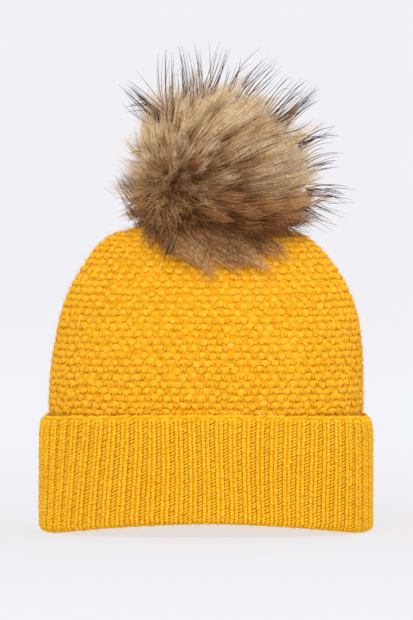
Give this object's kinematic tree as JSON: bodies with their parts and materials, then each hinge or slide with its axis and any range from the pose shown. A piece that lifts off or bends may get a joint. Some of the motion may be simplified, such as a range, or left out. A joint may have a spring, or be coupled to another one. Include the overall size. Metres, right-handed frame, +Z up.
{
  "type": "pom pom beanie",
  "caption": "Knitted winter hat with a seed-stitch crown, a wide turned-up ribbed cuff and a large fluffy fur pompom that snaps off.",
  "frame": {"origin": "middle of the hem's bounding box, on the floor the hat stands on", "axes": "+Z up through the gathered top to the pompom; +X along the long way of the oval opening; -Y is the front"},
  "size_m": [0.226, 0.174, 0.3316],
  "materials": {
    "mustard_wool": "soft brushed wool knit",
    "label_tape": "woven tape",
    "sewing_thread": "twisted thread",
    "felt": "wool felt",
    "nickel": "satin nickel plate",
    "pelt_leather": "suede",
    "polyester_fill": "loose fibre",
    "fur": "dense long fur",
    "guard_hair": "glossy dark-tipped hair"
  },
  "bodies": {
    "hat": {"inner_rib_band": "mustard_wool", "crown_shell": "mustard_wool", "back_seam_crown": "mustard_wool", "back_seam_band": "mustard_wool", "care_label": "label_tape", "label_stitching": "sewing_thread", "crown_gather_yarn": "mustard_wool", "inside_patch": "felt", "snap_post": "nickel", "snap_washer": "felt", "snap_stud": "nickel"},
    "cuff": {"turned_up_cuff": "mustard_wool", "cuff_cast_on_edge": "mustard_wool", "back_seam_cuff": "mustard_wool"},
    "socket": {"snap_socket": "nickel", "pompom_base_disc": "pelt_leather", "socket_cap": "nickel"},
    "pelt_mouth": {"fur_skirt_lock_01": "fur", "fur_skirt_lock_02": "fur", "fur_skirt_lock_03": "fur", "fur_skirt_lock_04": "fur", "fur_skirt_lock_05": "fur", "fur_skirt_lock_06": "fur", "fur_skirt_lock_07": "fur", "fur_skirt_lock_08": "fur", "fur_skirt_lock_09": "fur", "fur_skirt_lock_10": "fur", "fur_skirt_lock_11": "fur", "fur_skirt_lock_12": "fur", "fur_skirt_lock_13": "fur", "fur_skirt_lock_14": "fur", "fur_skirt_lock_15": "fur"},
    "pompom": {"pelt_skin": "pelt_leather", "pelt_tie_yarn": "sewing_thread", "stuffing": "polyester_fill", "fur_underwool": "fur", "guard_hair_lock_01": "guard_hair", "guard_hair_lock_02": "guard_hair", "guard_hair_lock_03": "guard_hair", "guard_hair_lock_04": "guard_hair", "guard_hair_lock_05": "guard_hair", "guard_hair_lock_06": "guard_hair", "guard_hair_lock_07": "guard_hair", "guard_hair_lock_08": "guard_hair", "guard_hair_lock_09": "guard_hair", "guard_hair_lock_10": "guard_hair", "guard_hair_lock_11": "guard_hair", "guard_hair_lock_12": "guard_hair", "guard_hair_lock_13": "guard_hair", "guard_hair_lock_14": "guard_hair", "guard_hair_lock_15": "guard_hair", "guard_hair_lock_16": "guard_hair", "guard_hair_lock_17": "guard_hair", "guard_hair_lock_18": "guard_hair", "guard_hair_lock_19": "guard_hair", "guard_hair_lock_20": "guard_hair", "guard_hair_lock_21": "guard_hair", "guard_hair_lock_22": "guard_hair"}
  },
  "joints": [
    {"name": "cuff_turn_down", "type": "slide", "parent": "hat", "child": "cuff", "axis": [0, 0, -1], "range_m": [0, 0.0725]},
    {"name": "pompom_unsnap", "type": "slide", "parent": "hat", "child": "socket", "axis": [0, 0, 1], "range_m": [0, 0.062]},
    {"name": "pompom_nod", "type": "hinge", "parent": "socket", "child": "pelt_mouth", "pos_m": [0, 0, 0.223], "axis": [1, 0, 0], "range_deg": [-8, 8], "stiffness_Nm_per_rad": 0.12, "deforming": ["fur_skirt_lock_01", "fur_skirt_lock_02", "fur_skirt_lock_03", "fur_skirt_lock_04", "fur_skirt_lock_05", "fur_skirt_lock_06", "fur_skirt_lock_07", "fur_skirt_lock_08", "fur_skirt_lock_09", "fur_skirt_lock_10", "fur_skirt_lock_11", "fur_skirt_lock_12", "fur_skirt_lock_13", "fur_skirt_lock_14", "fur_skirt_lock_15"]},
    {"name": "pompom_sway", "type": "hinge", "parent": "pelt_mouth", "child": "pompom", "pos_m": [0, 0, 0.223], "axis": [0, 1, 0], "range_deg": [-8, 8], "stiffness_Nm_per_rad": 0.12, "deforming": ["fur_skirt_lock_01", "fur_skirt_lock_02", "fur_skirt_lock_03", "fur_skirt_lock_04", "fur_skirt_lock_05", "fur_skirt_lock_06", "fur_skirt_lock_07", "fur_skirt_lock_08", "fur_skirt_lock_09", "fur_skirt_lock_10", "fur_skirt_lock_11", "fur_skirt_lock_12", "fur_skirt_lock_13", "fur_skirt_lock_14", "fur_skirt_lock_15"]}
  ]
}
